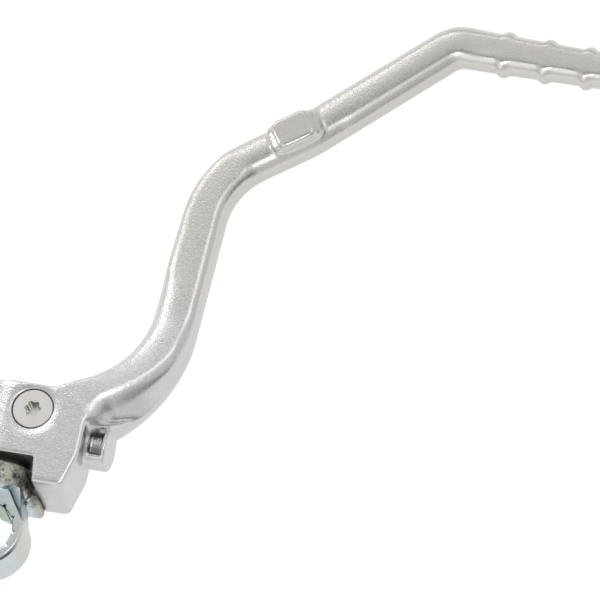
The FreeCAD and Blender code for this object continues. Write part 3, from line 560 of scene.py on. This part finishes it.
def zincPlate():
    # bright blue-white zinc: smooth on the machined ring, thin and stained on the neck as
    # forged, pitted on the lug, greenish in the bore, with painted shade by the land, bevel and
    # splines
    material, tree = newMaterial("zinc_plated_forging")
    place = addNode(tree, "ShaderNodeTexCoord")
    inMm = addNode(tree, "ShaderNodeVectorMath", {"operation": "SCALE"}, {"Scale": 1000},
                   {"Vector": place.outputs["Object"]})
    at = inMm.outputs["Vector"]
    where = addNode(tree, "ShaderNodeSeparateXYZ", None, None, {"Vector": at})
    measures = {"X": where.outputs["X"], "Y": where.outputs["Y"], "Z": where.outputs["Z"]}
    for name, (width, detail, roughness) in knuckleForging["patterns"].items():
        pattern = addNode(tree, "ShaderNodeTexNoise", None,
                          {"Scale": 1 / width, "Detail": detail, "Roughness": roughness},
                          {"Vector": at})
        measures[name] = pattern.outputs["Fac"]
    flat = addNode(tree, "ShaderNodeVectorMath", {"operation": "MULTIPLY"}, {1: (1, 1, 0)},
                   {0: at})
    radius = addNode(tree, "ShaderNodeVectorMath", {"operation": "LENGTH"}, None,
                     {0: flat.outputs["Vector"]})
    fromTongue = addNode(tree, "ShaderNodeVectorMath", {"operation": "SUBTRACT"},
                         {1: knuckleForging["tongueCorner"]}, {0: at})
    tongue = addNode(tree, "ShaderNodeVectorMath", {"operation": "DOT_PRODUCT"},
                     {1: knuckleForging["tongueNormal"]}, {0: fromTongue.outputs["Vector"]})
    border = addNode(tree, "ShaderNodeMath", {"operation": "MULTIPLY_ADD"},
                     {1: knuckleForging["borderWander"]}, {0: measures["stain"], 2: measures["Y"]})
    measures.update(radius=radius.outputs["Value"], tongue=tongue.outputs["Value"],
                    border=border.outputs["Value"])

    finish = {}
    for name, (measure, low, high, first, last) in knuckleForging["finish"].items():
        step = addNode(tree, "ShaderNodeMapRange", None,
                       {"From Min": low, "From Max": high, "To Min": first, "To Max": last},
                       {"Value": measures[measure]})
        finish[name] = step.outputs["Result"]
    pitted = addNode(tree, "ShaderNodeMath", {"operation": "MULTIPLY"}, None,
                     {0: finish["lug"], 1: finish["lugTop"]})
    rough = addNode(tree, "ShaderNodeMath", {"operation": "MAXIMUM"}, None,
                    {0: finish["neck"], 1: pitted.outputs["Value"]})

    plate = addNode(tree, "ShaderNodeMix", {"data_type": "RGBA"},
                    {"A": toLinear(knuckleForging["bluest"]),
                     "B": toLinear(knuckleForging["greyest"])}, {"Factor": measures["stain"]})
    layer = plate.outputs["Result"]
    for share, hexColour in knuckleForging["tints"]:
        tinted = addNode(tree, "ShaderNodeMix", {"data_type": "RGBA"}, {"B": toLinear(hexColour)},
                         {"Factor": finish[share], "A": layer})
        layer = tinted.outputs["Result"]
    # each entry darkens its place as painted shade
    for hexColour, limits in knuckleForging["paintedShades"]:
        shadeMask = None
        for measure, none, full in limits:
            step = addNode(tree, "ShaderNodeMapRange", None,
                           {"From Min": none, "From Max": full}, {"Value": measures[measure]})
            if shadeMask is None:
                shadeMask = step.outputs["Result"]
                continue
            both = addNode(tree, "ShaderNodeMath", {"operation": "MULTIPLY"}, None,
                           {0: shadeMask, 1: step.outputs["Result"]})
            shadeMask = both.outputs["Value"]
        shaded = addNode(tree, "ShaderNodeMix", {"data_type": "RGBA"}, {"B": toLinear(hexColour)},
                        {"Factor": shadeMask, "A": layer})
        layer = shaded.outputs["Result"]
    neck = addNode(tree, "ShaderNodeMix", {"data_type": "RGBA"},
                   {"A": toLinear(knuckleForging["neckPale"]),
                    "B": toLinear(knuckleForging["neckStained"])}, {"Factor": finish["dark"]})
    whole = addNode(tree, "ShaderNodeMix", {"data_type": "RGBA"}, None,
                    {"Factor": finish["neck"], "A": layer, "B": neck.outputs["Result"]})

    # speckle, pits and sheen go from the smooth plate's value to the rough skin's
    byRoughness = {}
    for name in ("speckled", "pitting", "roughness"):
        onPlate, onSkin = knuckleForging[name]
        step = addNode(tree, "ShaderNodeMapRange", None, {"To Min": onPlate, "To Max": onSkin},
                       {"Value": rough.outputs["Value"]})
        byRoughness[name] = step.outputs["Result"]
    tone = addNode(tree, "ShaderNodeMix", {"data_type": "FLOAT"}, {"A": 1},
                   {"Factor": byRoughness["speckled"], "B": finish["speckle"]})
    colour = addNode(tree, "ShaderNodeVectorMath", {"operation": "SCALE"}, None,
                     {"Vector": whole.outputs["Result"], "Scale": tone.outputs["Result"]})
    bump = addNode(tree, "ShaderNodeBump", None, {"Distance": knuckleForging["pitDepth"] * mm},
                   {"Height": measures["pits"], "Strength": byRoughness["pitting"]})
    skin = addNode(tree, "ShaderNodeBsdfPrincipled", None, {"Metallic": 1},
                   {"Base Color": colour.outputs["Vector"],
                    "Roughness": byRoughness["roughness"], "Normal": bump.outputs["Normal"]})
    addNode(tree, "ShaderNodeOutputMaterial", None, None, {"Surface": skin.outputs["BSDF"]})
    return material


wear(knuckle, zincPlate())
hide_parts("knuckle")
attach(knuckle, "knuckle")


# Cross screw, rubber rings, ball and spring: dressed as they are. Lengths in mm.

crossScrew = {
    "turningPitch": 0.34526, "turningDepth": 0.02,
    "socketShade": "#8A8881", "turned": "#DDDCD8",
    "faced": (0.3, 0.95),       # how squarely a surface faces up, from wall darkened as painted shade to turned face
    "roughness": 0.28,
}
ringSpacing = math.pi / 10      # of the wave texture's own rings at scale 1


def turnedStainless():
    # A2 stainless, face turned: fine rings about the screw's own axis. They are about 0.1 mm
    # apart in life and drawn coarser, and still only soften the sheen at this size.
    material, tree = newMaterial("turned_stainless")
    place = addNode(tree, "ShaderNodeTexCoord")
    screwX, screwY = armForging["screw"]
    centred = addNode(tree, "ShaderNodeMapping", None,
                      {"Location": (-screwX, -screwY, 0), "Scale": (1000, 1000, 0)},
                      {"Vector": place.outputs["Object"]})
    rings = addNode(tree, "ShaderNodeTexWave",
                    {"wave_type": "RINGS", "rings_direction": "SPHERICAL"},
                    {"Scale": ringSpacing / crossScrew["turningPitch"], "Distortion": 0.6,
                     "Detail": 2}, {"Vector": centred.outputs["Vector"]})
    bump = addNode(tree, "ShaderNodeBump", None,
                   {"Distance": crossScrew["turningDepth"] * mm, "Strength": 0.5},
                   {"Height": rings.outputs["Fac"]})
    # walls of the socket and the rim's bevel are darkened as painted shade
    facing = addNode(tree, "ShaderNodeSeparateXYZ", None, None,
                     {"Vector": place.outputs["Normal"]})
    wall, face = crossScrew["faced"]
    faced = addNode(tree, "ShaderNodeMapRange", None, {"From Min": wall, "From Max": face},
                    {"Value": facing.outputs["Z"]})
    colour = addNode(tree, "ShaderNodeMix", {"data_type": "RGBA"},
                     {"A": toLinear(crossScrew["socketShade"]), "B": toLinear(crossScrew["turned"])},
                     {"Factor": faced.outputs["Result"]})
    skin = addNode(tree, "ShaderNodeBsdfPrincipled", None,
                   {"Metallic": 1, "Roughness": crossScrew["roughness"]},
                   {"Normal": bump.outputs["Normal"], "Base Color": colour.outputs["Result"]})
    addNode(tree, "ShaderNodeOutputMaterial", None, None, {"Surface": skin.outputs["BSDF"]})
    return material


rubberRings = {"black": "#141414", "bloom": "#242322", "bloomWidth": 1.5, "roughness": 0.6}


def blackRubber():
    # moulded nitrile rubber: matt black, faint bloom
    material, tree = newMaterial("nitrile_rubber")
    place = addNode(tree, "ShaderNodeTexCoord")
    bloom = addNode(tree, "ShaderNodeTexNoise", None,
                    {"Scale": 1000 / rubberRings["bloomWidth"], "Detail": 3},
                    {"Vector": place.outputs["Object"]})
    colour = addNode(tree, "ShaderNodeMix", {"data_type": "RGBA"},
                     {"A": toLinear(rubberRings["black"]), "B": toLinear(rubberRings["bloom"])},
                     {"Factor": bloom.outputs["Fac"]})
    skin = addNode(tree, "ShaderNodeBsdfPrincipled", None,
                   {"Roughness": rubberRings["roughness"], "IOR": 1.5},
                   {"Base Color": colour.outputs["Result"]})
    addNode(tree, "ShaderNodeOutputMaterial", None, None, {"Surface": skin.outputs["BSDF"]})
    return material


detentBall = {"name": "bearing_steel", "colour": "#D9D9DB", "roughness": 0.12}
detentSpring = {"name": "spring_wire", "colour": "#8C8C90", "roughness": 0.3}
steelMottle = {"width": 0.8, "spread": 0.04}


def hardSteel(steel):
    # bearing or spring steel: smooth, slight mottling
    material, tree = newMaterial(steel["name"])
    place = addNode(tree, "ShaderNodeTexCoord")
    mottle = addNode(tree, "ShaderNodeTexNoise", None,
                     {"Scale": 1000 / steelMottle["width"], "Detail": 2},
                     {"Vector": place.outputs["Object"]})
    rough = addNode(tree, "ShaderNodeMapRange", None,
                    {"To Min": steel["roughness"] - steelMottle["spread"],
                     "To Max": steel["roughness"] + steelMottle["spread"]},
                    {"Value": mottle.outputs["Fac"]})
    skin = addNode(tree, "ShaderNodeBsdfPrincipled", None,
                   {"Metallic": 1, "Base Color": toLinear(steel["colour"])},
                   {"Roughness": rough.outputs["Result"]})
    addNode(tree, "ShaderNodeOutputMaterial", None, None, {"Surface": skin.outputs["BSDF"]})
    return material


rubber = blackRubber()
for node, material in (
    ("cross_screw", turnedStainless()), ("dust_seal", rubber), ("journal_oring", rubber),
    ("detent_ball", hardSteel(detentBall)), ("detent_spring", hardSteel(detentSpring)),
):
    wear(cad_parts[node], material)
print("materials on")


# Table and studio light

studio = {
    "tableSize": 2.4, "tableAt": (0.1, 0.1),   # metres
    "tableGap": 0.05 * mm,
    "tableColour": "#5A5A5A",
    "tableGlow": 0.94,
    "skyTop": 1.06,
    "skyHorizon": 0.95,
    "skyRise": 0.75,   # height of the direction at which the sky has its full brightness
    # patches of the room: direction, inner and outer radius in degrees, and the share of the
    # light that is missing there, or extra where it is below zero
    "patches": [
        ((-0.02, -0.1, 1.0), 8, 24, 0.62),      # photographer leaning over
        ((0.76, -0.34, 0.55), 6, 20, 0.3),      # unlit corner, upper part
        ((0.93, -0.34, 0.1), 12, 26, 0.72),     # and its lower part
        ((0.42, 0.3, 0.86), 3, 12, -2.2),       # far end of the ceiling lamp
        ((0.42, -0.32, 0.85), 4, 14, -0.3),     # ceiling beyond the photographer
        ((-0.25, -0.82, 0.52), 8, 22, -0.7),    # bright wall behind the photographer
    ],
    # name, the place it points at in mm, direction of the lamp from there, distance, width
    # and height in metres, and watts
    "softboxes": [
        ("leftSoftbox", (90, 110, 0), (-0.67, 0.6, 0.44), 1.0, 0.42, 0.16, 1.0),
        ("elbowSoftbox", (45, 75, 0), (0.33, -0.24, 0.91), 0.4, 0.08, 0.136, 0.24),
        ("legSoftbox", (56, 86, 8), (-0.82, 0.3, 0.48), 0.17, 0.03, 0.03, 0.028),
        ("topSoftbox", (90, 110, 0), (-0.28, 0.73, 0.63), 1.0, 0.2, 0.16, 0.25),
    ],
}


def glowingAcrylic():
    # lit acrylic table: nearly white by its own light, so the lever hardly shades it
    material, tree = newMaterial("white_table")
    skin = addNode(tree, "ShaderNodeBsdfPrincipled", None,
                   {"Base Color": toLinear(studio["tableColour"]), "Roughness": 0.6,
                    "Emission Color": (1, 1, 1, 1), "Emission Strength": studio["tableGlow"]})
    addNode(tree, "ShaderNodeOutputMaterial", None, None, {"Surface": skin.outputs["BSDF"]})
    return material


bpy.ops.object.select_all(action="DESELECT")
tableTop = cadBox[0][2] - studio["tableGap"]
bpy.ops.mesh.primitive_plane_add(size=studio["tableSize"], location=(*studio["tableAt"], tableTop))
table = bpy.context.object
table.name = "table"
wear(table, glowingAcrylic())


def addSoftbox(name, aim, toward, distance, width, height, power):
    lamp = bpy.data.lights.new(name, "AREA")
    lamp.shape = "RECTANGLE"
    lamp.size, lamp.size_y = width, height
    lamp.energy = power
    spot = Vector(toward).normalized()
    lampObject = bpy.data.objects.new(name, lamp)
    bpy.context.scene.collection.objects.link(lampObject)
    lampObject.location = Vector(aim) * mm + spot * distance
    lampObject.rotation_euler = spot.to_track_quat("Z", "Y").to_euler()
    lampObject.visible_camera = False


def brightRoom():
    # a pale room, a little brighter above, with its dark and bright patches
    world = bpy.data.worlds.new("studio")
    world.use_nodes = True
    tree = world.node_tree
    tree.nodes.clear()
    direction = addNode(tree, "ShaderNodeTexCoord")
    toward = direction.outputs["Generated"]
    height = addNode(tree, "ShaderNodeSeparateXYZ", None, None, {"Vector": toward})
    brightness = addNode(tree, "ShaderNodeMapRange", {"interpolation_type": "SMOOTHSTEP"},
                         {"From Min": 0, "From Max": studio["skyRise"],
                          "To Min": studio["skyHorizon"], "To Max": studio["skyTop"]},
                         {"Value": height.outputs["Z"]})
    strength = brightness.outputs["Result"]
    for patch, inner, outer, missing in studio["patches"]:
        near = addNode(tree, "ShaderNodeVectorMath", {"operation": "DOT_PRODUCT"},
                       {1: Vector(patch).normalized()}, {0: toward})
        kept = addNode(tree, "ShaderNodeMapRange", {"interpolation_type": "SMOOTHSTEP"},
                       {"From Min": math.cos(math.radians(outer)),
                        "From Max": math.cos(math.radians(inner)),
                        "To Min": 1, "To Max": 1 - missing}, {"Value": near.outputs["Value"]})
        dimmed = addNode(tree, "ShaderNodeMath", {"operation": "MULTIPLY"}, None,
                         {0: strength, 1: kept.outputs["Result"]})
        strength = dimmed.outputs["Value"]
    sky = addNode(tree, "ShaderNodeBackground", None, None, {"Strength": strength})
    addNode(tree, "ShaderNodeOutputWorld", None, None, {"Surface": sky.outputs["Background"]})
    return world


for softbox in studio["softboxes"]:
    addSoftbox(*softbox)
bpy.context.scene.world = brightRoom()
bpy.context.scene.view_settings.view_transform = "Standard"
print("studio lit")
